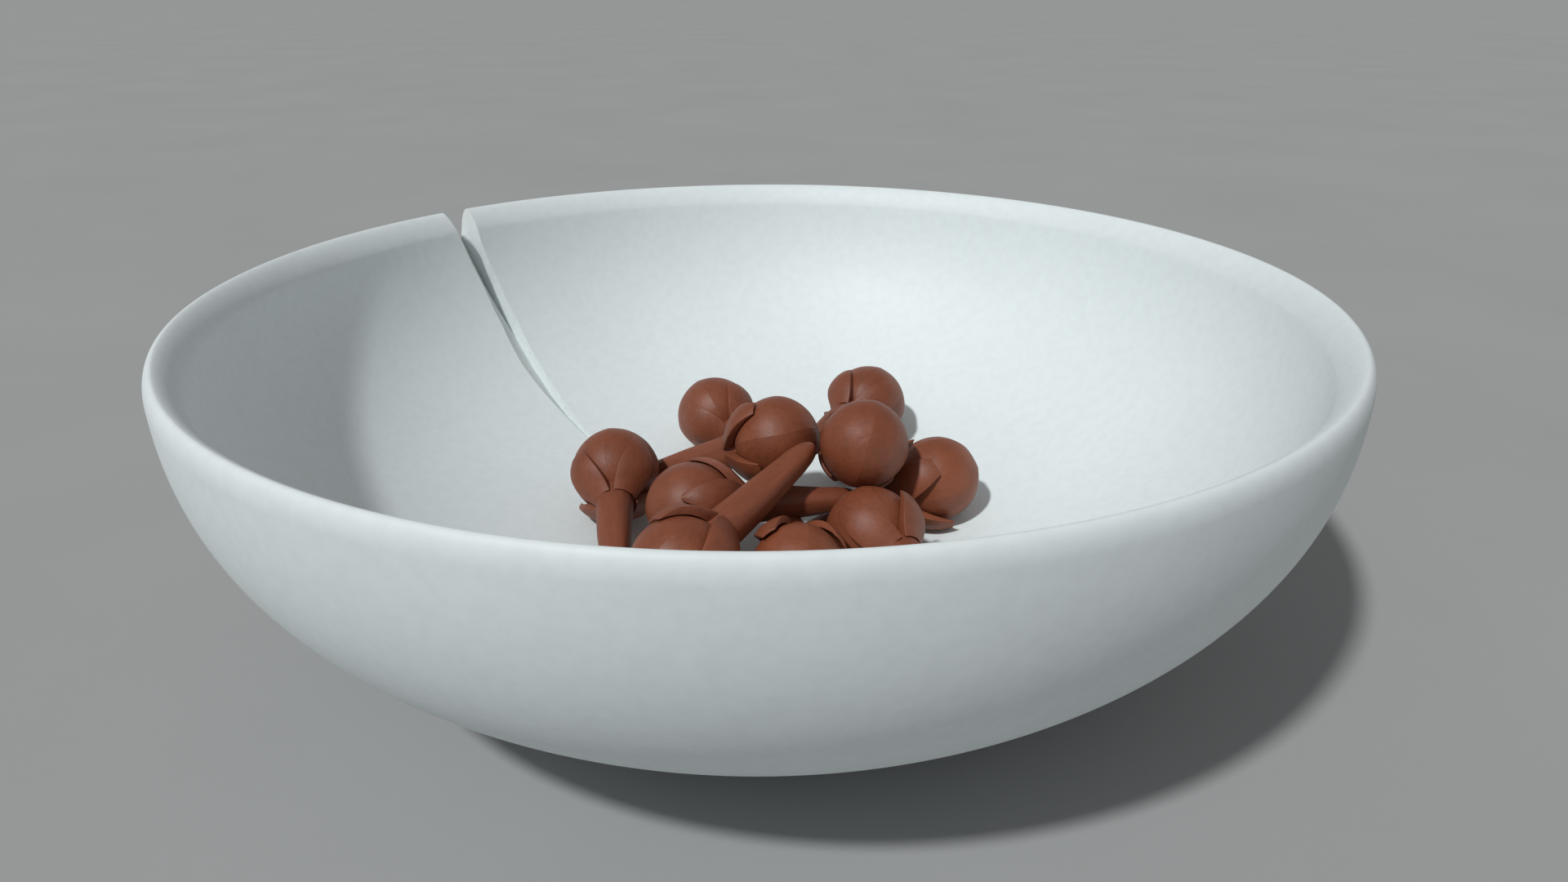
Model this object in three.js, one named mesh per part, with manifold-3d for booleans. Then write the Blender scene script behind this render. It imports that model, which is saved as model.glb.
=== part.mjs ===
// A small round ceramic bowl, cracked at the rim, with a loose heap of whole cloves in it.
// Millimetres, +Z up. The origin is the middle of the flat foot that the bowl stands on.

import * as THREE from 'three';
import { ConvexGeometry } from 'three/addons/geometries/ConvexGeometry.js';
import { mergeVertices } from 'three/addons/utils/BufferGeometryUtils.js';
import Module from 'manifold-3d';

const wasm = await Module();
wasm.setup();

// ---- Bowl -----------------------------------------------------------------------------

const BOWL_RADIUS = 30;          // outside, at its widest ring just under the lip
const BOWL_HEIGHT = 19;
const LIP_DROP = 1.0;            // from the top of the lip down to the widest ring
const LIP_OUTER_ROUND = 0.45;    // how far the lip's top stands in from the widest ring
const LIP_BEVEL_DROP = 1.4;      // height of the soft bevel from the lip's top to the inner wall
const LIP_BEVEL_POWER = 1.5;     // 1 would be a straight bevel, 2 a quarter ellipse
const WIDEST_Z = BOWL_HEIGHT - LIP_DROP;
const FLOOR_Z = 1.7;             // the middle of the inside floor

// Each face of the wall is a superellipse: the height and the radius of its widest ring, its
// depth below that and its two exponents, across and down. 2 and 2 would be an ellipse.
const OUTER = { top: WIDEST_Z, radius: BOWL_RADIUS, depth: 19.2, across: 1.95, down: 2.28 };
const INNER = { top: 22, radius: 28.8, depth: 22 - FLOOR_Z, across: 1.99, down: 2.577 };
const AROUND = 64;               // flat sides round the bowl
const WALL_STEPS = 11;
const LIP_STEPS = 3;

// ---- Crack in the back left of the wall -----------------------------------------------
// A groove with a V section, open to the inside, with one side that goes almost straight
// into the wall. It runs down from the rim, right through the wall at the top and shallower
// below. Each row is one station: its height, its place in degrees counter-clockwise from
// +X, its width at the inner face and its depth into the wall.

const CRACK = [
  { z: 20.0, turn: 138.6, width: 2.6, depth: 12.0 },
  { z: 16.9, turn: 137.5, width: 1.46, depth: 1.7 },
  { z: 14.05, turn: 136.4, width: 1.3, depth: 1.6 },
  { z: 11.1, turn: 135.95, width: 1.32, depth: 1.1 },
  { z: 8.8, turn: 136.3, width: 1.3, depth: 0.8 },
  { z: 7.2, turn: 136.3, width: 0.98, depth: 0.7 },
  { z: 6.0, turn: 136.3, width: 0.65, depth: 0.6 },
  { z: 5.0, turn: 136.3, width: 0.45, depth: 0.4 },
  { z: 4.4, turn: 136.2, width: 0.1, depth: 0.1 },
];
const CRACK_LEAN = 0.15;         // how far the steep side leans for each mm of depth
const CRACK_CLEAR = 1.0;         // how far the cut reaches past the inner face

// ---- Cloves ---------------------------------------------------------------------------

const HEAD_RADIUS = 2.64;        // the round bud
const STEM_NECK = 1.14;          // stem radius where it meets the bud
const STEM_MIDDLE = 0.97;
const STEM_END = 0.76;
const STEM_ROUND = 2.3;          // length of the rounding at the stem's end
const STEM_ROUND_STEPS = 3;
const SEPALS = 4;
const SEPAL_THICK = 0.41;        // at the middle of its length
const SEPAL_THIN = 0.22;         // share of that thickness at its foot and its end
const SEPAL_FOOT_RISE = 0.68;    // thickness that the foot has on top of that
const SEPAL_KEEL = 0.05;         // how far its middle line stands over its sides
const SEPAL_ROOT = 0.3;          // how deep its inner face lies in the bud
const SEPAL_FOOT = 20;           // degrees from the stem's axis, where a sepal starts
const SEPAL_HALF_WIDTH = 47.2;   // degrees round the bud that its sides would reach on the axis
const SEPAL_NARROWING = 0.42;    // loss of half width for each degree away from the axis
const SEPAL_STATIONS = [0, 0.2, 0.45, 0.75, 1];  // shares of its length
const HEAD_SIDES = 14;
const HEAD_RINGS = 9;
const STEM_SIDES = 8;

// Each clove lies with its bud's centre at `at` and its stem pointing along `heading`,
// degrees counter-clockwise from +X, and `tilt` degrees up. `roll` turns it about its stem,
// and `size` is its thickness against the common one. `sepals` gives, for each of the four,
// its reach in degrees from the stem and how far its end stands off the bud.
const CLOVES = [
  {
    at: [-9.42, 3.8, 5.9], heading: 277, tilt: -12, roll: 35.5, length: 14.1, size: 1.03,
    sepals: [[80, 0.05], [88, 0.05], [88, 0.15], [80, 0.25]],
  },
  {
    at: [-3.5, 12.3, 6.2], heading: 298, tilt: -12, roll: 23.5, length: 13.3, size: 1,
    sepals: [[82, 0.03], [82, 0.03], [88, 0.1], [86, 0.1]],
  },
  {
    at: [0.7, 3.4, 8.2], heading: 161, tilt: -23.4, roll: 21.6, length: 14.2, size: 1,
    sepals: [[86, 0.05], [88, 0.05], [80, 0.08], [86, 0.1]],
  },
  {
    at: [7.15, 12.6, 6.85], heading: 239.7, tilt: 0, roll: 53.7, length: 12.1, size: 1,
    sepals: [[76, 0.07], [84, 0.1], [84, 0.1], [84, 0.1]],
  },
  {
    at: [5.8, 0.5, 9.1], heading: 94, tilt: -35, roll: 25.5, length: 13.4, size: 1,
    sepals: [[76, 0], [76, 0.08], [74, 0], [76, 0]],
  },
  {
    at: [10.6, 2.8, 5.7], heading: 195, tilt: -19, roll: 43.3, length: 13.7, size: 1,
    sepals: [[86, 0.05], [83.5, 0.05], [82, 0.4], [86, 0.2]],
  },
  {
    at: [-4.4, -1.3, 6], heading: 7, tilt: -1, roll: 38, length: 12.9, size: 1,
    sepals: [[103, 0], [88, 0], [88, 0.1], [88, 0.1]],
  },
  {
    at: [6, -3.1, 5.2], heading: 298, tilt: 1, roll: 45.4, length: 13.5, size: 1,
    sepals: [[92, 0.05], [79, 0.25], [86, 0.3], [86, 0.2]],
  },
  {
    at: [-4.6, -7.9, 5.8], heading: 49, tilt: 16, roll: 33, length: 14.5, size: 1.05,
    sepals: [[88, 0.15], [82, 0], [86, 0.15], [86, 0.15]],
  },
  {
    at: [1.7, -7.1, 5], heading: 95, tilt: -6, roll: 34, length: 12.9, size: 1,
    sepals: [[90, 0.12], [92, 0.12], [88, 0.1], [88, 0.1]],
  },
];

// The heap's core: crumbled clove dust that lies on the floor under the cloves.
const CORE_RADIUS = 13.5;
const CORE_HEIGHT = 1.9;
const HEAP_CLEARANCE = 0.3;      // between the heap and the bowl

const COLOURS = { bowl: 0xdfe9e9, cloves: 0x7b4632 };

// ---- Geometry and solids --------------------------------------------------------------

const radians = THREE.MathUtils.degToRad;
const point = (r, z) => new THREE.Vector2(r, z);

/** A manifold solid from any closed three.js geometry. */
function solid(geometry) {
  geometry.deleteAttribute('normal');
  geometry.deleteAttribute('uv');
  const merged = mergeVertices(geometry, 1e-4);
  const corners = [];
  const index = merged.index.array;
  for (let i = 0; i < index.length; i += 3) {
    const [a, b, c] = [index[i], index[i + 1], index[i + 2]];
    if (a !== b && b !== c && c !== a) corners.push(a, b, c);
  }
  const vertProperties = new Float32Array(merged.attributes.position.array);
  const triVerts = new Uint32Array(corners);
  return new wasm.Manifold(new wasm.Mesh({ numProp: 3, vertProperties, triVerts }));
}

/** A named mesh from a manifold solid. */
function part(name, body, roughness) {
  const { vertProperties, triVerts } = body.getMesh();
  const geometry = new THREE.BufferGeometry();
  geometry.setAttribute('position', new THREE.BufferAttribute(vertProperties, 3));
  geometry.setIndex(new THREE.BufferAttribute(triVerts, 1));
  geometry.computeVertexNormals();
  const material = new THREE.MeshStandardMaterial({ color: COLOURS[name], roughness, metalness: 0 });
  const mesh = new THREE.Mesh(geometry, material);
  mesh.name = name;
  return mesh;
}

/** Turns a profile of radius and height about +Z. The profile runs from the axis back to it. */
function turned(profile, sides) {
  return solid(new THREE.LatheGeometry(profile, sides).rotateX(Math.PI / 2));
}

/** Radius at height z of a face of the wall. */
function faceRadius({ top, radius, depth, across, down }, z) {
  const drop = Math.max(0, (top - z) / depth);
  const angle = Math.asin(Math.min(1, drop ** (down / 2)));
  return radius * Math.cos(angle) ** (2 / across);
}

const outerRadius = (z) => faceRadius(OUTER, z);
const innerRadius = (z) => faceRadius(INNER, z);

/** Points down a face from height `start` to height `end`, closer together near the floor. */
function wallPoints(radiusAt, start, end) {
  const points = [];
  for (let i = 0; i <= WALL_STEPS; i += 1) {
    const z = start + (end - start) * Math.sin((Math.PI / 2) * (i / WALL_STEPS));
    points.push(point(radiusAt(z), z));
  }
  return points;
}

/** Points on a quarter turn from (r + across, z) to (r, z + up): |x|^power + |y|^power = 1. */
function quarter(r, z, across, up, steps, power = 2) {
  const points = [];
  for (let i = 0; i <= steps; i += 1) {
    const angle = radians((90 * i) / steps);
    const [x, y] = [Math.cos(angle), Math.sin(angle)].map((share) => share ** (2 / power));
    points.push(point(r + across * x, z + up * y));
  }
  return points;
}

// ---- Bowl -----------------------------------------------------------------------------

function bowlBlank() {
  const lipOuter = BOWL_RADIUS - LIP_OUTER_ROUND;
  const innerTop = BOWL_HEIGHT - LIP_BEVEL_DROP;
  const outside = wallPoints(outerRadius, WIDEST_Z, 0).reverse();
  const rim = quarter(lipOuter, WIDEST_Z, LIP_OUTER_ROUND, LIP_DROP, LIP_STEPS).slice(1);
  const standingOff = lipOuter - innerRadius(BOWL_HEIGHT);
  const bevel = quarter(standingOff, innerTop, -standingOff, LIP_BEVEL_DROP, LIP_STEPS, LIP_BEVEL_POWER)
    .map(({ x, y }) => point(innerRadius(y) + x, y));
  const inside = wallPoints(innerRadius, innerTop, FLOOR_Z).slice(1, -1);
  const lip = [...rim, ...bevel.reverse().slice(1)];
  return turned([point(0, 0), ...outside, ...lip, ...inside, point(0, FLOOR_Z)], AROUND);
}

/** The V section of the crack at one station: its apex and two corners inside the bowl. */
function crackSection({ z, turn, width, depth }) {
  const step = 0.1;
  const level = Math.min(z, WIDEST_Z);
  const slope = (innerRadius(level + step) - innerRadius(level - step)) / (2 * step);
  const outward = new THREE.Vector3(1, 0, -slope).normalize();
  const face = new THREE.Vector3(innerRadius(level), 0, z);
  const apex = face.clone().addScaledVector(outward, depth);
  apex.setY(CRACK_LEAN * depth - width / 2);
  const edges = [width / 2, -width / 2].map((y) => face.clone().setY(y));
  const corners = edges.map((edge) => apex.clone().lerp(edge, 1 + CRACK_CLEAR / depth));
  const axis = new THREE.Vector3(0, 0, 1);
  return [apex, ...corners].map((corner) => corner.applyAxisAngle(axis, radians(turn)));
}

function crack() {
  const sections = CRACK.map(crackSection);
  const lengths = sections.slice(1).map((section, i) => [...sections[i], ...section]);
  return lengths
    .map((corners) => solid(new ConvexGeometry(corners)))
    .reduce((whole, length) => whole.add(length));
}

// ---- Cloves ---------------------------------------------------------------------------
// A clove is made with its bud at the origin, free pole up, and its stem down -Z.

function stem(length, size) {
  const end = HEAD_RADIUS - length / size;
  const tip = quarter(0, end + STEM_ROUND, STEM_END, -STEM_ROUND, STEM_ROUND_STEPS).reverse();
  const profile = [
    ...tip,
    point(STEM_MIDDLE, end * 0.55),
    point(STEM_NECK, -0.9 * HEAD_RADIUS),
    point(0, -0.5 * HEAD_RADIUS),
  ];
  return turned(profile, STEM_SIDES);
}

/** Point at `angle` degrees from the stem and `turn` degrees round it, `off` the bud's face. */
function budPoint(angle, turn, off) {
  const radius = HEAD_RADIUS + off;
  const around = radius * Math.sin(radians(angle));
  return new THREE.Vector3(
    around * Math.cos(radians(turn)),
    around * Math.sin(radians(turn)),
    -radius * Math.cos(radians(angle)),
  );
}

/** A blunt wedge that hugs the bud from its neck, thickest at its foot. */
function sepal(reach, lift) {
  const corners = SEPAL_STATIONS.flatMap((along) => {
    const angle = SEPAL_FOOT + (reach - SEPAL_FOOT) * along;
    const half = SEPAL_HALF_WIDTH - SEPAL_NARROWING * angle;
    const swell = SEPAL_THIN + (1 - SEPAL_THIN) * Math.sin(Math.PI * along);
    const outer = SEPAL_THICK * swell + SEPAL_FOOT_RISE * (1 - along) ** 4 + lift * along ** 2.5;
    return [
      budPoint(angle, -half, -SEPAL_ROOT),
      budPoint(angle, half, -SEPAL_ROOT),
      budPoint(angle, -half, outer),
      budPoint(angle, 0, outer + SEPAL_KEEL),
      budPoint(angle, half, outer),
    ];
  });
  return solid(new ConvexGeometry(corners));
}

/** The rotation and place that lay a clove down in the bowl. */
function lie({ at, heading, tilt, roll }) {
  const [turn, rise] = [radians(heading), radians(tilt)];
  const up = new THREE.Vector3(0, 0, 1);
  const towardsBud = new THREE.Vector3(
    -Math.cos(rise) * Math.cos(turn),
    -Math.cos(rise) * Math.sin(turn),
    -Math.sin(rise),
  );
  const side = new THREE.Vector3().crossVectors(up, towardsBud).normalize();
  const other = new THREE.Vector3().crossVectors(towardsBud, side);
  return new THREE.Matrix4()
    .makeBasis(side, other, towardsBud)
    .setPosition(...at)
    .multiply(new THREE.Matrix4().makeRotationZ(radians(roll)));
}

function clove(placing) {
  const bud = solid(new THREE.SphereGeometry(HEAD_RADIUS, HEAD_SIDES, HEAD_RINGS).rotateX(Math.PI / 2));
  let body = bud.add(stem(placing.length, placing.size));
  placing.sepals.forEach(([reach, lift], i) => {
    body = body.add(sepal(reach, lift).rotate([0, 0, (360 / SEPALS) * i]));
  });
  return body.scale(placing.size).transform(lie(placing).elements);
}

function core() {
  const profile = [
    point(0, 0),
    point(CORE_RADIUS, 0),
    point(CORE_RADIUS, FLOOR_Z + CORE_HEIGHT),
    point(0, FLOOR_Z + CORE_HEIGHT),
  ];
  return turned(profile, AROUND);
}

/** The room inside the bowl that the heap may fill. */
function cavity() {
  const wall = wallPoints(innerRadius, WIDEST_Z, FLOOR_Z).reverse();
  const shrunk = wall.map(({ x, y }) => point(Math.max(0, x - HEAP_CLEARANCE), y + HEAP_CLEARANCE));
  return turned([...shrunk, point(0, WIDEST_Z + HEAP_CLEARANCE)], AROUND);
}

function heap() {
  return CLOVES.map(clove)
    .reduce((whole, next) => whole.add(next), core())
    .intersect(cavity());
}

// ---- The whole ------------------------------------------------------------------------

const model = new THREE.Group();
model.add(part('bowl', bowlBlank().subtract(crack()), 0.45));
model.add(part('cloves', heap(), 0.6));

export default model;
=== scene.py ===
"""A small round white bowl, cracked down its wall, with ten whole dried cloves lying in it.

Lengths below are in millimetres and become metres where a mesh is made. +Z is up, and the
origin is the middle of the flat foot that the bowl stands on.
"""

import math

import bpy
import numpy as np
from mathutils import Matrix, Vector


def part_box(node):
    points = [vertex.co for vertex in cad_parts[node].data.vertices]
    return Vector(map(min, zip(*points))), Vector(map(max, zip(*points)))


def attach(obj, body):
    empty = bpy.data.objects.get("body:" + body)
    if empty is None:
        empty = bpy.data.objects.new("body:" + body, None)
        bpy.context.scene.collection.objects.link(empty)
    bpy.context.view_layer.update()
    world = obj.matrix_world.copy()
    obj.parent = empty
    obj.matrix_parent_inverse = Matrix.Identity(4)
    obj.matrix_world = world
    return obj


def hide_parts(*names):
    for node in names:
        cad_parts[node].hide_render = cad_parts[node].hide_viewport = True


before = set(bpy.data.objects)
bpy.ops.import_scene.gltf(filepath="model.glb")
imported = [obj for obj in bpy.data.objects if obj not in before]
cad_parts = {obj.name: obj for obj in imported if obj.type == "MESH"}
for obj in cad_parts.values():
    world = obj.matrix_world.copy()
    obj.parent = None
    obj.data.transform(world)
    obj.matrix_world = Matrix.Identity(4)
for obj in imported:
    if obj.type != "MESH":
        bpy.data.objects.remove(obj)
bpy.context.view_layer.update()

MM = 0.001
TAU = 2 * math.pi

# ---- Bowl -----------------------------------------------------------------------------

bowl_low, bowl_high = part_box("bowl")
BOWL_RADIUS = (bowl_high.x - bowl_low.x) / 2 / MM
BOWL_HEIGHT = bowl_high.z / MM
LIP_DROP = 1.0            # from the top of the lip down to the widest ring
LIP_OUTER_ROUND = 0.45    # how far the lip's top stands in from the widest ring
LIP_BEVEL_DROP = 1.4      # height of the soft bevel from the lip's top down to the inner wall
LIP_BEVEL_POWER = 1.5     # 1 would be a straight bevel, 2 a quarter ellipse
WIDEST = BOWL_HEIGHT - LIP_DROP
FLOOR = 1.7               # height of the middle of the inside floor

# Each face of the wall is a superellipse: the height and the radius of its widest ring, its
# depth below that and its two exponents, across and down.
OUTER = dict(top=WIDEST, radius=BOWL_RADIUS, depth=19.2, across=1.95, down=2.28)
INNER = dict(top=22.0, radius=28.8, depth=22.0 - FLOOR, across=1.99, down=2.577)
GLAZE_WAVER = 0.02        # half the depth that the glaze wanders through, inside the true curve
WAVER_LENGTH = 17.0
STEADY_HEIGHT = 3         # the glaze keeps the true curve better below this height
STEADY_RADIUS = 10        # and nearer to the bowl's axis than this
COLUMNS_AROUND = 400
COLUMN_CROWDING = 0.6     # share by which the columns stand closer at the crack
FOOT_ROWS = (0, 0.35, 0.7, 0.95)  # where rows cross the foot, as shares of its radius
OUTSIDE_ROWS = 60
LIP_ROWS = 11
BEVEL_ROWS = 17
INSIDE_ROWS = 76

# ---- Crack ----------------------------------------------------------------------------
# Each row is one station down the wall: its height on the inner face, its place in degrees
# counter-clockwise from +X, its width there and its depth into the wall.

CRACK = [
    (14.05, 136.4, 1.3, 1.6),
    (11.1, 135.95, 1.32, 1.1),
    (8.8, 136.3, 1.3, 0.8),
    (7.2, 136.3, 0.98, 0.7),
    (6.0, 136.3, 0.65, 0.6),
    (5.0, 136.3, 0.45, 0.4),
    (4.2, 136.2, 0.0, 0.0),
]
CRACK_LIP = (138.25, 1.97)           # place and width across the top of the lip
CRACK_THROUGH = (16.9, 137.5, 1.46)  # inner height, place and width where it goes right through
CRACK_EXIT = (16.8, 137.2)           # height and place of its low end on the outer face
CRACK_LEAN = 0.15         # how far its steep side leans for each mm of depth
CRACK_GRAIN = 0.015       # height of the grain on the broken faces
COARSE_GRAIN = 1.3        # lengths of that grain
FINE_GRAIN = 0.45
GRAIN_FADE = 0.8          # a broken face narrower than this has less of it
CRACK_COLUMNS = 9
SLOPE_STEP = 0.1          # how far up and down the wall its slope is taken

# ---- Cloves ---------------------------------------------------------------------------

HEAD_RADIUS = 2.64
STEM_NECK = 1.14
STEM_MIDDLE = 0.97
STEM_END = 0.76
STEM_ROUND = 2.3          # length of the rounding at the stem's end
SEPALS = 4
SEPAL_THICK = 0.41        # at the middle of its length
SEPAL_THIN = 0.22         # share of that thickness at its foot and its end
SEPAL_FOOT_RISE = 0.68    # thickness that the foot has on top of that
SEPAL_GAP = 0.03          # between its inner face and the round of the bud
SEPAL_CORNER = 0.04       # rounding of its edges
SEPAL_KEEL = 0.05         # how far its middle line stands over its sides
SEPAL_FOOT = 20           # degrees from the stem's axis, where a sepal starts
SEPAL_HALF_WIDTH = 47.2   # degrees round the bud that its sides would reach on the stem's axis
SEPAL_NARROWING = 0.42    # loss of half width for each degree away from the stem's axis
PETALS = 4
PETAL_FLATNESS = 0.02     # share of the radius that a petal's middle lies lower than its edge
SEAM_REACH = 0.22         # radians from a seam at which the petal has mostly flattened
PETAL_STEP = 0.01         # how far a petal's edge stands over the next one
STEP_REACH = 0.12         # radians over which that step falls to about a third
POLE_FADE = 0.3           # the steps fade where the bud's ring is under this share of its widest
SEAM_BEND = 0.05          # how far, in radians, the seams swing to one side and the other
WRINKLE = 0.006           # height of the wrinkles in the skin
STEM_SQUARENESS = 2.6     # power of the stem's section: 2 would be round
STEM_FULLNESS = 0.97      # share of its radius that the middles of its four sides have
GROOVE_DEPTH = 0.05       # of the grooves along it, as a share of its radius
GROOVE_COUNTS = (7, 11, 16)  # grooves round it, in three sets laid over each other
STEM_BOW = 0.12           # how far its middle lies to one side
SKIN_SHIFT = 40.0         # keeps each clove's grain apart from the next one's

# Each clove lies with its bud's centre at `at` and its stem pointing along `heading`,
# degrees counter-clockwise from +X, and `tilt` degrees up. `roll` turns it about its stem,
# and `size` is its thickness against the common one. `sepals` gives, for each of the four,
# its reach in degrees from the stem and how far its end stands off the bud.
CLOVES = [
    dict(at=(-9.42, 3.8, 5.9), heading=277, tilt=-12, roll=35.5, length=14.1, size=1.03,
         sepals=[(80, 0.05), (88, 0.05), (88, 0.15), (80, 0.25)]),
    dict(at=(-3.5, 12.3, 6.2), heading=298, tilt=-12, roll=23.5, length=13.3, size=1.0,
         sepals=[(82, 0.03), (82, 0.03), (88, 0.10), (86, 0.10)]),
    dict(at=(0.7, 3.4, 8.2), heading=161, tilt=-23.4, roll=21.6, length=14.2, size=1.0,
         sepals=[(86, 0.05), (88, 0.05), (80, 0.08), (86, 0.10)]),
    dict(at=(7.15, 12.6, 6.85), heading=239.7, tilt=0, roll=53.7, length=12.1, size=1.0,
         sepals=[(76, 0.07), (84, 0.10), (84, 0.10), (84, 0.10)]),
    dict(at=(5.8, 0.5, 9.1), heading=94, tilt=-35, roll=25.5, length=13.4, size=1.0,
         sepals=[(76, 0.0), (76, 0.08), (74, 0.0), (76, 0.0)]),
    dict(at=(10.6, 2.8, 5.7), heading=195, tilt=-19, roll=43.3, length=13.7, size=1.0,
         sepals=[(86, 0.05), (83.5, 0.05), (82, 0.40), (86, 0.20)]),
    dict(at=(-4.4, -1.3, 6.0), heading=7, tilt=-1, roll=38, length=12.9, size=1.0,
         sepals=[(103, 0.0), (88, 0.0), (88, 0.10), (88, 0.10)]),
    dict(at=(6.0, -3.1, 5.2), heading=298, tilt=1, roll=45.4, length=13.5, size=1.0,
         sepals=[(92, 0.05), (79, 0.25), (86, 0.30), (86, 0.20)]),
    dict(at=(-4.6, -7.9, 5.8), heading=49, tilt=16, roll=33, length=14.5, size=1.05,
         sepals=[(88, 0.15), (82, 0.0), (86, 0.15), (86, 0.15)]),
    dict(at=(1.7, -7.1, 5.0), heading=95, tilt=-6, roll=34, length=12.9, size=1.0,
         sepals=[(90, 0.12), (92, 0.12), (88, 0.10), (88, 0.10)]),
]
RESTING_GAP = 0.02        # between a clove's skin and the glaze it lies on


# ---- Meshes ---------------------------------------------------------------------------

WELD_STEPS = 1e4          # to the millimetre, on which points that coincide are merged


def ripple(points, length, seed, waves=14):
    """Irregular relief between about -1 and 1: the mean of plane sine waves of one length
    that run in random directions, scaled up by the root of half their number."""
    draw = np.random.default_rng(seed)
    direction = draw.normal(size=(waves, 3))
    direction /= np.linalg.norm(direction, axis=1, keepdims=True)
    phase = draw.uniform(0, TAU, waves)
    sines = np.sin(points @ direction.T * (TAU / length) + phase)
    return sines.mean(axis=-1) * math.sqrt(waves / 2)


def grid_quads(rows, columns):
    """Corner numbers of the quads between neighbouring points of a grid, row after row."""
    corner = np.arange(rows * columns).reshape(rows, columns)
    around = [corner[:-1, :-1], corner[:-1, 1:], corner[1:, 1:], corner[1:, :-1]]
    return np.stack(around, axis=-1).reshape(-1, 4)


def shell(points, **marks):
    """A closed surface from a grid of points whose first and last column coincide and whose
    first and last row are each one point. Its quads are turned to face outwards, which makes
    the sum of corner a times (corner b cross corner c) over its triangles positive."""
    rows, columns = points.shape[:2]
    flat = points.reshape(-1, 3)
    quads = grid_quads(rows, columns)
    a, b, c, d = (flat[quads[:, k]] for k in range(4))
    volume = (a * np.cross(b, c) + a * np.cross(c, d)).sum()
    if volume < 0:
        quads = quads[:, ::-1]
    marks = {name: values.reshape(rows * columns, -1) for name, values in marks.items()}
    return {"points": flat, "quads": quads, **marks}


def joined(shells):
    """Several shells as one: their arrays end to end, with the quads' numbers moved on."""
    counts = [len(each["points"]) for each in shells]
    starts = np.concatenate([[0], np.cumsum(counts)[:-1]])
    marks = [key for key in shells[0] if key != "quads"]
    whole = {key: np.concatenate([each[key] for each in shells]) for key in marks}
    whole["quads"] = np.concatenate([each["quads"] + start for each, start in zip(shells, starts)])
    return whole


def welded(points, quads):
    """Merges points that coincide. Gives the numbers of the points kept, the loops of the
    faces, where each face starts, and which quads still have three or more corners."""
    keys = np.round(points * WELD_STEPS).astype(np.int64)
    _, kept, new_number = np.unique(keys, axis=0, return_index=True, return_inverse=True)
    corners = new_number.ravel()[quads]
    distinct = corners != np.roll(corners, 1, axis=1)
    whole = distinct.sum(axis=1) >= 3
    corners, distinct = corners[whole], distinct[whole]
    sides = distinct.sum(axis=1)
    starts = np.concatenate([[0], np.cumsum(sides)[:-1]])
    return kept, corners[distinct], starts, whole


def piece(name, parts, materials, node, sharp):
    """Makes the Blender object: welded mesh in metres, smooth but for edges sharper than
    `sharp` degrees, with the parts' own marks as attributes."""
    kept, loops, starts, whole = welded(parts["points"], parts["quads"])
    mesh = bpy.data.meshes.new(name)
    mesh.vertices.add(len(kept))
    mesh.vertices.foreach_set("co", (parts["points"][kept] * MM).astype(np.float32).ravel())
    mesh.loops.add(len(loops))
    mesh.loops.foreach_set("vertex_index", loops.astype(np.int32))
    mesh.polygons.add(len(starts))
    mesh.polygons.foreach_set("loop_start", starts.astype(np.int32))
    mesh.polygons.foreach_set("use_smooth", np.ones(len(starts), bool))
    mesh.update(calc_edges=True)
    for material in materials:
        mesh.materials.append(material)
    if "material" in parts:
        chosen = parts["material"][:, 0][parts["quads"][whole]].max(axis=1)
        mesh.polygons.foreach_set("material_index", chosen.astype(np.int32))
    if "skin" in parts:
        skin = mesh.attributes.new("skin", "FLOAT_VECTOR", "POINT")
        skin.data.foreach_set("vector", parts["skin"][kept].astype(np.float32).ravel())
    if "tint" in parts:
        tint = mesh.attributes.new("tint", "FLOAT", "POINT")
        tint.data.foreach_set("value", parts["tint"][kept].astype(np.float32).ravel())
    mesh.set_sharp_from_angle(angle=math.radians(sharp))
    mesh.validate()
    made = bpy.data.objects.new(name, mesh)
    bpy.context.scene.collection.objects.link(made)
    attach(made, "root")
    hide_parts(node)
    return made


# ---- Shape of the bowl ----------------------------------------------------------------

def wall_points(wall, angle):
    """Points of a face of the wall: its radius times cos(angle)^(2 / across), and its top
    less its depth times sin(angle)^(2 / down). Angle runs from 0 there to a quarter turn."""
    radius = wall["radius"] * np.cos(angle) ** (2 / wall["across"])
    height = wall["top"] - wall["depth"] * np.sin(angle) ** (2 / wall["down"])
    return np.column_stack([radius, height])


def wall_angle(wall, height):
    """The angle at which such a face has that height."""
    share = (wall["top"] - np.asarray(height, float)) / wall["depth"]
    return np.arcsin(np.clip(share, 0, 1) ** (wall["down"] / 2))


def inner_point(height):
    """Radius and height of the inner face at a height."""
    return wall_points(INNER, wall_angle(INNER, np.atleast_1d(height)))


def inner_floor(radius):
    """Height of the inner face at a distance from the bowl's axis: the face's formula
    solved for its height."""
    share = np.clip(radius / INNER["radius"], 0, 1) ** (INNER["across"] / 2)
    return INNER["top"] - INNER["depth"] * np.sin(np.arccos(share)) ** (2 / INNER["down"])


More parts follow.
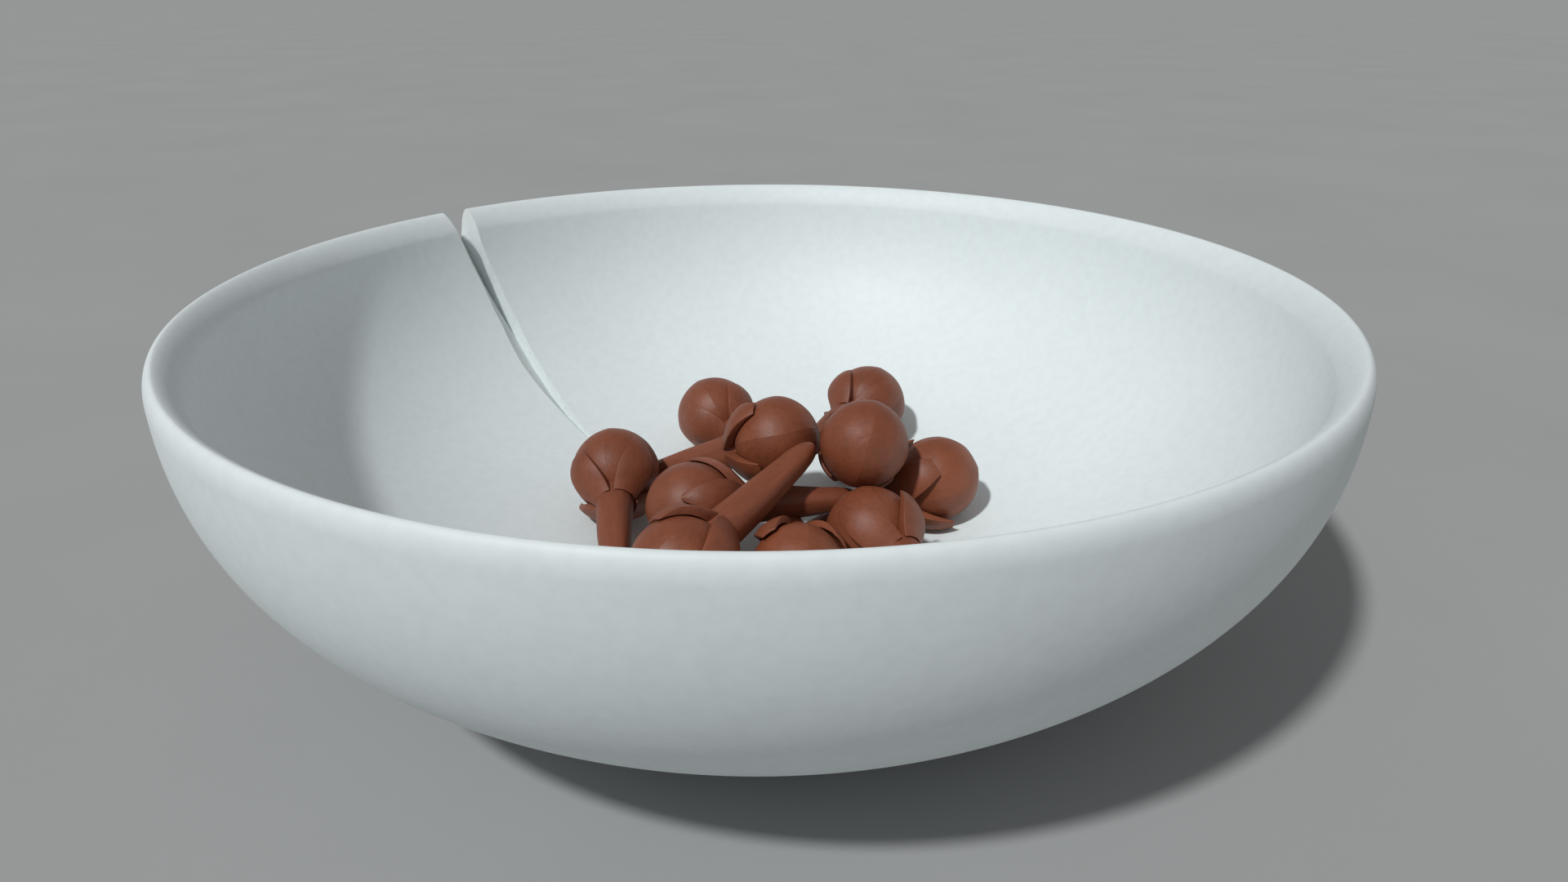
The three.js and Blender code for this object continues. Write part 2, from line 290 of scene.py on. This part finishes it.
def bowl_profile():
    """Radius and height of the bowl's section, from the middle of the foot up the outside,
    over the lip and down the inside to the middle of the floor, and the number of its point
    on top of the lip. The lip is a quarter ellipse on the outside. On the inside it is a
    bevel that stands off the inner face, less and less on its way down: with both as shares
    of their largest, (1 - distance off)^power + (height up)^power = 1."""
    outside = wall_points(OUTER, np.linspace(wall_angle(OUTER, 0), 0, OUTSIDE_ROWS))
    foot = np.column_stack([outside[0, 0] * np.array(FOOT_ROWS), np.zeros(len(FOOT_ROWS))])
    lip_radius = BOWL_RADIUS - LIP_OUTER_ROUND
    quarter = np.linspace(0, math.pi / 2, LIP_ROWS)
    rim = np.column_stack([
        lip_radius + LIP_OUTER_ROUND * np.cos(quarter),
        WIDEST + LIP_DROP * np.sin(quarter),
    ])
    bevel_end = BOWL_HEIGHT - LIP_BEVEL_DROP
    quarter = np.linspace(0, math.pi / 2, BEVEL_ROWS)
    bevel = inner_point(bevel_end + LIP_BEVEL_DROP * np.cos(quarter) ** (2 / LIP_BEVEL_POWER))
    standing_off = lip_radius - bevel[0, 0]
    bevel[:, 0] += standing_off * (1 - np.sin(quarter) ** (2 / LIP_BEVEL_POWER))
    inside_angle = np.linspace(wall_angle(INNER, bevel_end), math.pi / 2, INSIDE_ROWS)
    inside = wall_points(INNER, inside_angle)
    inside[-1] = (0, FLOOR)
    top = len(foot) + len(outside) + len(rim) - 2
    return np.concatenate([foot, outside, rim[1:], bevel[1:], inside[1:]]), top


def nearest_row(profile, rows, height):
    """The number, out of a range of rows of the profile, of the one closest to a height."""
    return rows.start + int(np.abs(profile[rows, 1] - height).argmin())


def crack_lines(profile, top):
    """The crack's two edges and its deepest line, one entry for each row of the profile.

    An edge's angle is its station's place plus or minus half the width over the radius. The
    deepest line lies `depth` into the wall along its normal, and to the steep side of the
    middle by half the width less the lean. Between stations all of them run straight, by
    distance along the profile. Rows that the crack misses get one angle for both edges."""
    walked = np.concatenate([[0], np.cumsum(np.linalg.norm(np.diff(profile, axis=0), axis=1))])
    inside = slice(top + 1, len(profile))
    exit_row = nearest_row(profile, slice(len(FOOT_ROWS), top), CRACK_EXIT[0])
    place = [(exit_row, CRACK_EXIT[1], 0.0), (top, *CRACK_LIP)]
    through_row = nearest_row(profile, inside, CRACK_THROUGH[0])
    place.append((through_row, *CRACK_THROUGH[1:]))
    place += [(nearest_row(profile, inside, z), turn, width) for z, turn, width, _ in CRACK]
    row, turn, width = (np.array(column, float) for column in zip(*place))
    row = row.astype(int)
    radius = profile[row, 0]
    left = np.interp(walked, walked[row], np.radians(turn) + width / 2 / radius)
    right = np.interp(walked, walked[row], np.radians(turn) - width / 2 / radius)

    exit_angle = math.radians(CRACK_EXIT[1])
    exit_point = profile[exit_row, 0] * np.array([math.cos(exit_angle), math.sin(exit_angle), 0])
    exit_point[2] = profile[exit_row, 1]
    deepest = [exit_point]
    deepest_row = [through_row]
    for z, place_turn, place_width, depth in CRACK:
        below, at, above = inner_point([z - SLOPE_STEP, z, z + SLOPE_STEP])
        normal = np.array([above[1] - below[1], below[0] - above[0]])
        normal /= np.linalg.norm(normal)
        radius_in, height_in = at + depth * normal
        sideways = CRACK_LEAN * depth - place_width / 2
        angle = math.radians(place_turn)
        along = np.array([math.cos(angle), math.sin(angle), 0])
        across = np.array([-math.sin(angle), math.cos(angle), 0])
        deepest.append(radius_in * along + sideways * across + np.array([0, 0, height_in]))
        deepest_row.append(nearest_row(profile, inside, z))
    tip_row = deepest_row[-1]
    tip_radius, tip_height = profile[tip_row]
    tip_angle = left[tip_row]
    deepest[-1] = (tip_radius * math.cos(tip_angle), tip_radius * math.sin(tip_angle), tip_height)
    deepest = np.array(deepest)
    line = np.stack([np.interp(walked, walked[deepest_row], deepest[:, k]) for k in range(3)], axis=1)
    return left, right, line, slice(exit_row, tip_row + 1)


def bowl_shell():
    """The bowl's closed surface. Each row of the grid starts on the crack's deepest line,
    climbs its left face, goes once round the bowl and comes back down the right face. Where
    there is no crack the two faces shrink to nothing. The broken faces swell with a grain
    that is 0 at their edges, by 4 t (1 - t), and the glaze wanders just inside its curve."""
    profile, top = bowl_profile()
    left, right, line, cracked = crack_lines(profile, top)
    even = np.linspace(0, 1, COLUMNS_AROUND + 1)
    share = even - COLUMN_CROWDING / TAU * np.sin(TAU * even)
    angle = left[:, None] + share[None, :] * (TAU + right - left)[:, None]
    radius, height = profile[:, :1], profile[:, 1:]
    height = height + 0 * angle
    round_bowl = np.stack([radius * np.cos(angle), radius * np.sin(angle), height], axis=-1)
    round_bowl[:, -1][: cracked.start + 1] = round_bowl[:, 0][: cracked.start + 1]
    round_bowl[:, -1][cracked.stop - 1:] = round_bowl[:, 0][cracked.stop - 1:]

    line[: cracked.start + 1] = round_bowl[: cracked.start + 1, 0]
    line[cracked.stop - 1:] = round_bowl[cracked.stop - 1:, 0]
    into = np.linspace(0, 1, CRACK_COLUMNS + 1)[None, :, None]
    left_face = line[:, None] + into * (round_bowl[:, :1] - line[:, None])
    right_face = round_bowl[:, -1:] + into * (line[:, None] - round_bowl[:, -1:])
    crack_turn = math.radians(CRACK_EXIT[1])
    across = np.array([-math.sin(crack_turn), math.cos(crack_turn), 0])
    for face, seed in ((left_face, 3), (right_face, 4)):
        grain = 0.6 * ripple(face, COARSE_GRAIN, seed) + 0.4 * ripple(face, FINE_GRAIN, seed + 10)
        reach = np.linalg.norm(face[:, -1] - face[:, 0], axis=-1)[:, None]
        fading = np.minimum(1, reach / GRAIN_FADE)
        swell = CRACK_GRAIN * fading * (4 * into * (1 - into))[..., 0] * grain
        face += swell[..., None] * across
    points = np.concatenate([left_face[:, :-1], round_bowl, right_face[:, 1:]], axis=1)
    unglazed = np.zeros(points.shape[:2])
    unglazed[:, :CRACK_COLUMNS] = 1
    unglazed[:, -CRACK_COLUMNS:] = 1

    outward = np.stack([points[..., 0], points[..., 1], 0 * points[..., 2]], axis=-1)
    outward /= np.maximum(np.linalg.norm(outward, axis=-1, keepdims=True), 1e-6)
    from_axis = np.hypot(points[..., 0], points[..., 1])
    steady = np.clip(points[..., 2] / STEADY_HEIGHT, 0, 1) * np.clip(from_axis / STEADY_RADIUS, 0, 1)
    waver = GLAZE_WAVER * ripple(points, WAVER_LENGTH, 5) * steady
    points = points + outward * (waver - GLAZE_WAVER)[..., None] * steady[..., None]
    return shell(points, material=unglazed)


# ---- Shape of a clove -----------------------------------------------------------------
# A clove is made with its bud at the origin, free pole up, and its stem down -Z.

def directions(polar, turn):
    """Unit vectors at a polar angle from +Z and a turn round it: the sine of the angle times
    the cosine and the sine of the turn, and its cosine."""
    level = np.cos(polar) + 0 * turn
    return np.stack([np.sin(polar) * np.cos(turn), np.sin(polar) * np.sin(turn), level], axis=-1)


def wrinkled(axes, broad, fine, seed):
    """Relief of two lengths on the round of the bud, the finer one half as high."""
    points = axes * HEAD_RADIUS
    return ripple(points, broad, seed) + 0.5 * ripple(points, fine, seed + 1)


def bud(seam, seed):
    """Round bud of four petals. Its radius is the head's, less a share of it that grows with
    1 - exp(-distance from the nearest seam), plus a small step along the side of each seam
    where one petal's edge lies over the next, plus fine wrinkles."""
    even = np.linspace(0, 1, 25)
    share = (1 - np.cos(math.pi * even)) / 2
    turn = ((np.arange(PETALS)[:, None] + share) * (TAU / PETALS)).ravel()
    share = np.tile(share, PETALS)
    polar = np.linspace(0, math.pi, 65)[:, None]
    across = np.minimum(share, 1 - share)[None, :] * (TAU / PETALS) * np.sin(polar)
    over = (1 - share)[None, :] * (TAU / PETALS) * np.sin(polar)
    fading = np.clip(np.sin(polar) / POLE_FADE, 0, 1)
    radius = HEAD_RADIUS * (1 - PETAL_FLATNESS * (1 - np.exp(-across / SEAM_REACH)))
    radius = radius + PETAL_STEP * fading * np.exp(-over / STEP_REACH)
    axes = directions(polar, turn[None, :] + math.radians(seam) + SEAM_BEND * np.sin(2 * polar))
    points = axes * (radius + WRINKLE * wrinkled(axes, 1.9, 0.7, seed))[..., None]
    points[:, -1] = points[:, 0]
    points[0] = points[0, 0]
    points[-1] = points[-1, 0]
    return points


def leaf_section():
    """Section of a sepal as two lists of (across, through). A point of the section is the
    first times the half size without the corner's rounding, plus the second times the
    rounding's radius. The lower half is the upper one turned half round."""
    arc = np.radians(np.linspace(0, 90, 5))
    face = np.linspace(1, -1, 13)[1:-1]
    right_corner = np.column_stack([np.cos(arc), np.sin(arc)])
    left_corner = np.column_stack([-np.sin(arc), np.cos(arc)])
    straight = np.concatenate([
        [(1, 0)],
        np.tile((1, 1), (len(arc), 1)),
        np.column_stack([face, np.ones(len(face))]),
        np.tile((-1, 1), (len(arc), 1)),
    ])
    rounding = np.concatenate([[(1, 0)], right_corner, np.tile((0, 1), (len(face), 1)), left_corner])
    straight = np.concatenate([straight, -straight, straight[:1]])
    rounding = np.concatenate([rounding, -rounding, rounding[:1]])
    return straight, rounding


def sepal(number, roll, reach, lift, seed):
    """A thick blunt leaf that hugs the bud from its neck. Along it, its angle from the stem
    grows from the foot to its reach, and its half width falls evenly with that angle until
    it is cut off blunt. Its thickness is thin + (1 - thin) sin(pi v) of the full one, plus
    the foot's rise times (1 - v)^4. Its inner face lies a small gap off the bud and leaves
    it further by lift times v^2.5. One radius rounds its edges and its end."""
    straight, rounding = leaf_section()
    along = np.linspace(0, 1, 30)
    bend = np.linspace(0, math.pi / 2, 5)[1:]
    v = np.concatenate([[0], along, np.ones(len(bend) + 2)])
    level = np.zeros(len(along) + 1)
    closed = [SEPAL_CORNER] * 2
    inset = np.concatenate([level, SEPAL_CORNER * (1 - np.cos(bend)), closed])
    advance = np.concatenate([level, SEPAL_CORNER * np.sin(bend), closed])
    closing = np.concatenate([[0], np.ones(len(along) + len(bend)), [0.5, 0]])

    thickness = SEPAL_THICK * (SEPAL_THIN + (1 - SEPAL_THIN) * np.sin(math.pi * v))
    thickness += SEPAL_FOOT_RISE * (1 - v) ** 4
    middle = HEAD_RADIUS + SEPAL_GAP + thickness / 2 + lift * v ** 2.5
    corner_angle = math.degrees(SEPAL_CORNER / HEAD_RADIUS)
    from_stem = SEPAL_FOOT + (reach - corner_angle - SEPAL_FOOT) * v + np.degrees(advance / HEAD_RADIUS)
    ring = middle * np.sin(np.radians(from_stem))
    half_width = np.radians(SEPAL_HALF_WIDTH - SEPAL_NARROWING * from_stem) * ring

    corner = (SEPAL_CORNER - inset)[:, None]
    wide = straight[:, 0] * (half_width - SEPAL_CORNER)[:, None] + rounding[:, 0] * corner
    through = straight[:, 1] * (thickness / 2 - SEPAL_CORNER)[:, None] + rounding[:, 1] * corner
    keel = SEPAL_KEEL * (1 - straight[:, 0] ** 2) * (straight[:, 1] > 0)
    closing = closing[:, None]
    turn = math.radians(roll + number * 360 / SEPALS) + wide * closing / ring[:, None]
    axes = directions(math.pi - np.radians(from_stem)[:, None], turn)
    relief = WRINKLE * wrinkled(axes, 1.4, 0.5, seed)
    radius = middle[:, None] + (through + keel + relief) * closing
    points = axes * radius[..., None]
    points[:, -1] = points[:, 0]
    return points


def stem(length, roll, seed):
    """Tapered stem, softly four-sided. Its radius runs through the neck, the middle and the
    end, then round a quarter ellipse. Its section is a superellipse, 1 over the root of
    |cos|^power + |sin|^power to that power. The grooves along it are sines of the turn that
    drift with height, and its axis bows to one side as half a sine."""
    end = HEAD_RADIUS - length
    start = -0.5 * HEAD_RADIUS
    straight = np.linspace(start, end + STEM_ROUND, 56)
    knots = [end + STEM_ROUND, end * 0.55, -0.9 * HEAD_RADIUS, start]
    radius = np.interp(straight, knots, [STEM_END, STEM_MIDDLE, STEM_NECK, STEM_NECK])
    quarter = np.linspace(0, math.pi / 2, 14)[1:]
    height = np.concatenate([[start], straight, end + STEM_ROUND * (1 - np.sin(quarter))])
    radius = np.concatenate([[0], radius, STEM_END * np.cos(quarter)])
    radius[-1] = 0
    turn = np.linspace(0, TAU, 57)[None, :]
    height = height[:, None]
    power = STEM_SQUARENESS
    four_sided = (np.abs(np.cos(turn)) ** power + np.abs(np.sin(turn)) ** power) ** (-1 / power)
    draw = np.random.default_rng(seed)
    grooves = np.zeros((len(height), turn.shape[1]))
    for count in GROOVE_COUNTS:
        drift = draw.uniform(-0.25, 0.25)
        phase = draw.uniform(0, TAU)
        grooves += np.sin(count * turn + phase + drift * height + np.sin(height * 0.7 + phase)) / count
    full = radius[:, None] * (STEM_FULLNESS * four_sided + GROOVE_DEPTH * grooves)
    bow = STEM_BOW * np.sin(np.clip((height - start) / (end - start), 0, 1) * math.pi)
    angle = turn + math.radians(roll + 45)
    points = np.stack([full * np.cos(angle) + bow, full * np.sin(angle), height + 0 * angle], axis=-1)
    points[:, -1] = points[:, 0]
    return points


def laid(points, placing):
    """Scales a clove's points by its size, turns them so that the free pole points away from
    the stem's heading, moves them to their place and lifts what would sink into the bowl."""
    turn, rise = math.radians(placing["heading"]), math.radians(placing["tilt"])
    level = math.cos(rise)
    pole = -np.array([level * math.cos(turn), level * math.sin(turn), math.sin(rise)])
    side = np.cross([0, 0, 1], pole)
    side /= np.linalg.norm(side)
    axes = np.stack([side, np.cross(pole, side), pole])
    lying = points * placing["size"] @ axes + placing["at"]
    rest = inner_floor(np.hypot(lying[..., 0], lying[..., 1])) + RESTING_GAP
    lying[..., 2] = np.maximum(lying[..., 2], rest)
    return lying


def clove_shells(make):
    """One kind of part of every clove, joined. Each point also keeps its place on its own
    clove, for the grain of its skin, and its clove's shade."""
    shells = []
    draw = np.random.default_rng(11)
    for number, placing in enumerate(CLOVES):
        shade = draw.uniform(-1, 1)
        for points in make(number, placing):
            skin = points + SKIN_SHIFT * number
            tint = np.full(points.shape[:2], shade)
            shells.append(shell(laid(points, placing), skin=skin, tint=tint))
    return joined(shells)


def buds(number, placing):
    """The bud of one clove, its petals' seams midway between its sepals."""
    return [bud(placing["roll"] + 180 / SEPALS, 20 + number)]


def sepals(number, placing):
    """The four sepals of one clove."""
    return [
        sepal(k, placing["roll"], reach, lift, 60 + 8 * number + 2 * k)
        for k, (reach, lift) in enumerate(placing["sepals"])
    ]


def stems(number, placing):
    """The stem of one clove."""
    return [stem(placing["length"] / placing["size"], placing["roll"], 200 + 5 * number)]


# ---- Materials ------------------------------------------------------------------------

def new_material(name, roughness):
    """A principled material, its node tree and its shader."""
    made = bpy.data.materials.new(name)
    made.use_nodes = True
    shader = made.node_tree.nodes["Principled BSDF"]
    shader.inputs["Roughness"].default_value = roughness
    return made, made.node_tree, shader


def add_node(tree, kind, **settings):
    """A node of a kind, with attributes set by name and inputs by their label."""
    made = tree.nodes.new(kind)
    for key, value in settings.items():
        if hasattr(made, key):
            setattr(made, key, value)
        else:
            made.inputs[key.replace("_", " ").title()].default_value = value
    return made


def noise(tree, place, scale, detail=3.0, roughness=0.55):
    """Noise of `scale` bumps to the metre, or to the millimetre on a skin attribute."""
    made = add_node(tree, "ShaderNodeTexNoise", scale=scale, detail=detail, roughness=roughness)
    tree.links.new(place, made.inputs["Vector"])
    return made.outputs["Fac"]


def ranged(tree, value, low, high, start=0.0):
    """Maps a value between `start` and 1 onto low to high."""
    made = add_node(tree, "ShaderNodeMapRange", from_min=start, to_min=low, to_max=high)
    tree.links.new(value, made.inputs["Value"])
    return made.outputs["Result"]


def ramp(tree, value, stops):
    """Colours between stops of (position, colour)."""
    made = add_node(tree, "ShaderNodeValToRGB")
    elements = made.color_ramp.elements
    while len(elements) < len(stops):
        elements.new(0.5)
    for element, (position, colour) in zip(elements, stops):
        element.position = position
        element.color = (*colour, 1)
    tree.links.new(value, made.inputs["Fac"])
    return made.outputs["Color"]


def multiplied(tree, share, below, above):
    """Darkens one colour by another, by a share of it."""
    made = add_node(tree, "ShaderNodeMix", data_type="RGBA", blend_type="MULTIPLY")
    made.inputs[0].default_value = share
    tree.links.new(below, made.inputs[6])
    tree.links.new(above, made.inputs[7])
    return made.outputs[2]


def bumped(tree, shader, layers):
    """Stacks bumps of (height socket, distance in metres) onto a shader's normal."""
    normal = None
    for height, distance in layers:
        made = add_node(tree, "ShaderNodeBump", distance=distance)
        tree.links.new(height, made.inputs["Height"])
        if normal is not None:
            tree.links.new(normal, made.inputs["Normal"])
        normal = made.outputs["Normal"]
    tree.links.new(normal, shader.inputs["Normal"])


def glaze():
    """Satin white glaze with a faint cool tint, a soft ripple and a few fine pinholes."""
    made, tree, shader = new_material("white_glaze", 0.55)
    place = add_node(tree, "ShaderNodeTexCoord").outputs["Object"]
    tints = [(0.3, (0.78, 0.86, 0.87)), (0.7, (0.805, 0.885, 0.895))]
    cloud = ramp(tree, noise(tree, place, 90.0), tints)
    pinholes = [(0.35, (0.97, 0.97, 0.97)), (0.6, (1, 1, 1))]
    fine = ramp(tree, noise(tree, place, 1600.0, 2.0), pinholes)
    tree.links.new(multiplied(tree, 1.0, cloud, fine), shader.inputs["Base Color"])
    tree.links.new(ranged(tree, noise(tree, place, 260.0), 0.5, 0.62), shader.inputs["Roughness"])
    broad = (noise(tree, place, 420.0, 2.0), 0.00002)
    narrow = (noise(tree, place, 2600.0, 2.0), 0.000004)
    bumped(tree, shader, [broad, narrow])
    return made


def bare_ceramic():
    """Broken ceramic: dull, a little warmer than the glaze, finely grainy."""
    made, tree, shader = new_material("broken_ceramic", 0.85)
    place = add_node(tree, "ShaderNodeTexCoord").outputs["Object"]
    tints = [(0.3, (0.71, 0.77, 0.77)), (0.65, (0.78, 0.84, 0.84))]
    grain = ramp(tree, noise(tree, place, 2400.0, 5.0, 0.7), tints)
    tree.links.new(grain, shader.inputs["Base Color"])
    bumped(tree, shader, [(noise(tree, place, 1500.0, 5.0, 0.7), 0.00003)])
    return made


def clove_skin(name, low, high, stretch, roughness):
    """Dry brown skin. Colour wanders between two browns with broad noise, darkens in small
    pores and wrinkles, and shifts a little from clove to clove. `stretch` shortens the
    pattern's step along the stem, so that it runs lengthwise."""
    made, tree, shader = new_material(name, roughness)
    skin = add_node(tree, "ShaderNodeAttribute", attribute_name="skin").outputs["Vector"]
    mapping = add_node(tree, "ShaderNodeMapping")
    mapping.inputs["Scale"].default_value = (1, 1, stretch)
    tree.links.new(skin, mapping.inputs["Vector"])
    place = mapping.outputs["Vector"]
    colour = ramp(tree, noise(tree, place, 0.55, 4.0), [(0.3, low), (0.7, high)])
    fibres = noise(tree, place, 3.2, 4.0, 0.6)
    fibre_shade = ramp(tree, fibres, [(0.32, (0.72, 0.70, 0.70)), (0.52, (1, 1, 1))])
    colour = multiplied(tree, 0.5, colour, fibre_shade)
    pores = noise(tree, place, 9.0, 2.0)
    pore_shade = ramp(tree, pores, [(0.28, (0.6, 0.55, 0.55)), (0.4, (1, 1, 1))])
    colour = multiplied(tree, 0.4, colour, pore_shade)
    tint = add_node(tree, "ShaderNodeAttribute", attribute_name="tint").outputs["Fac"]
    varied = add_node(tree, "ShaderNodeHueSaturation")
    tree.links.new(colour, varied.inputs["Color"])
    tree.links.new(ranged(tree, tint, 0.94, 1.06, -1.0), varied.inputs["Value"])
    tree.links.new(varied.outputs["Color"], shader.inputs["Base Color"])
    tree.links.new(ranged(tree, fibres, roughness - 0.06, roughness + 0.08), shader.inputs["Roughness"])
    bumped(tree, shader, [(fibres, 0.00002), (noise(tree, place, 11.0, 3.0), 0.000007)])
    return made


def studio_floor():
    """Plain pale matt floor with a barely visible mottle."""
    made, tree, shader = new_material("studio_floor", 0.9)
    place = add_node(tree, "ShaderNodeTexCoord").outputs["Object"]
    mottle = ramp(tree, noise(tree, place, 30.0), [(0.3, (0.36, 0.37, 0.37)), (0.7, (0.38, 0.39, 0.39))])
    tree.links.new(mottle, shader.inputs["Base Color"])
    return made


# ---- Making the pieces ----------------------------------------------------------------

white = glaze()
broken = bare_ceramic()
bud_skin = clove_skin("bud_skin", (0.198, 0.054, 0.0215), (0.250, 0.069, 0.0285), 1.0, 0.5)
sepal_skin = clove_skin("sepal_skin", (0.195, 0.053, 0.0215), (0.245, 0.067, 0.0285), 0.6, 0.52)
stem_skin = clove_skin("stem_skin", (0.192, 0.053, 0.022), (0.243, 0.067, 0.029), 0.22, 0.54)

piece("cracked_bowl", bowl_shell(), [white, broken], "bowl", 32)
piece("clove_buds", clove_shells(buds), [bud_skin], "cloves", 50)
piece("clove_sepals", clove_shells(sepals), [sepal_skin], "cloves", 50)
piece("clove_stems", clove_shells(stems), [stem_skin], "cloves", 60)

# ---- Floor, light and camera ----------------------------------------------------------

FLOOR_HALF = 5.0          # in metres
KEY_TURN = 230            # degrees counter-clockwise from +X, where the key light stands
KEY_RISE = 52             # degrees above the floor
KEY_SPREAD = 4            # degrees that the key light is wide
KEY_STRENGTH = 2.15
SKY = (1.0, 0.97, 0.985)
SKY_STRENGTH = 0.25

CAMERA_AT = (0, -56.75, 34.5)
CAMERA_YAW = 0.0188       # radians to the right
CAMERA_PITCH = -0.4142    # radians up
CAMERA_LENS = 24.44
CAMERA_SENSOR = 36


def studio():
    """A pale floor, one distant key light, a pale sky and the camera."""
    half = FLOOR_HALF
    corners = [(-half, -half, 0), (half, -half, 0), (half, half, 0), (-half, half, 0)]
    mesh = bpy.data.meshes.new("studio_floor")
    mesh.from_pydata(corners, [], [(0, 1, 2, 3)])
    mesh.materials.append(studio_floor())
    floor = bpy.data.objects.new("studio_floor", mesh)
    bpy.context.scene.collection.objects.link(floor)

    light = bpy.data.lights.new("key_light", "SUN")
    light.angle = math.radians(KEY_SPREAD)
    light.energy = KEY_STRENGTH
    key = bpy.data.objects.new("key_light", light)
    key.rotation_euler = (math.pi / 2 - math.radians(KEY_RISE), 0, math.radians(KEY_TURN) + math.pi / 2)
    bpy.context.scene.collection.objects.link(key)

    world = bpy.data.worlds.new("pale_sky")
    world.use_nodes = True
    background = world.node_tree.nodes["Background"]
    background.inputs["Color"].default_value = (*SKY, 1)
    background.inputs["Strength"].default_value = SKY_STRENGTH
    bpy.context.scene.world = world

    lens = bpy.data.cameras.new("camera")
    lens.sensor_width = CAMERA_SENSOR
    lens.lens = CAMERA_LENS
    lens.clip_start = MM
    camera = bpy.data.objects.new("camera", lens)
    camera.location = [value * MM for value in CAMERA_AT]
    camera.rotation_euler = (math.pi / 2 + CAMERA_PITCH, 0, -CAMERA_YAW)
    bpy.context.scene.collection.objects.link(camera)
    bpy.context.scene.camera = camera
    bpy.context.scene.view_settings.view_transform = "Standard"


studio()
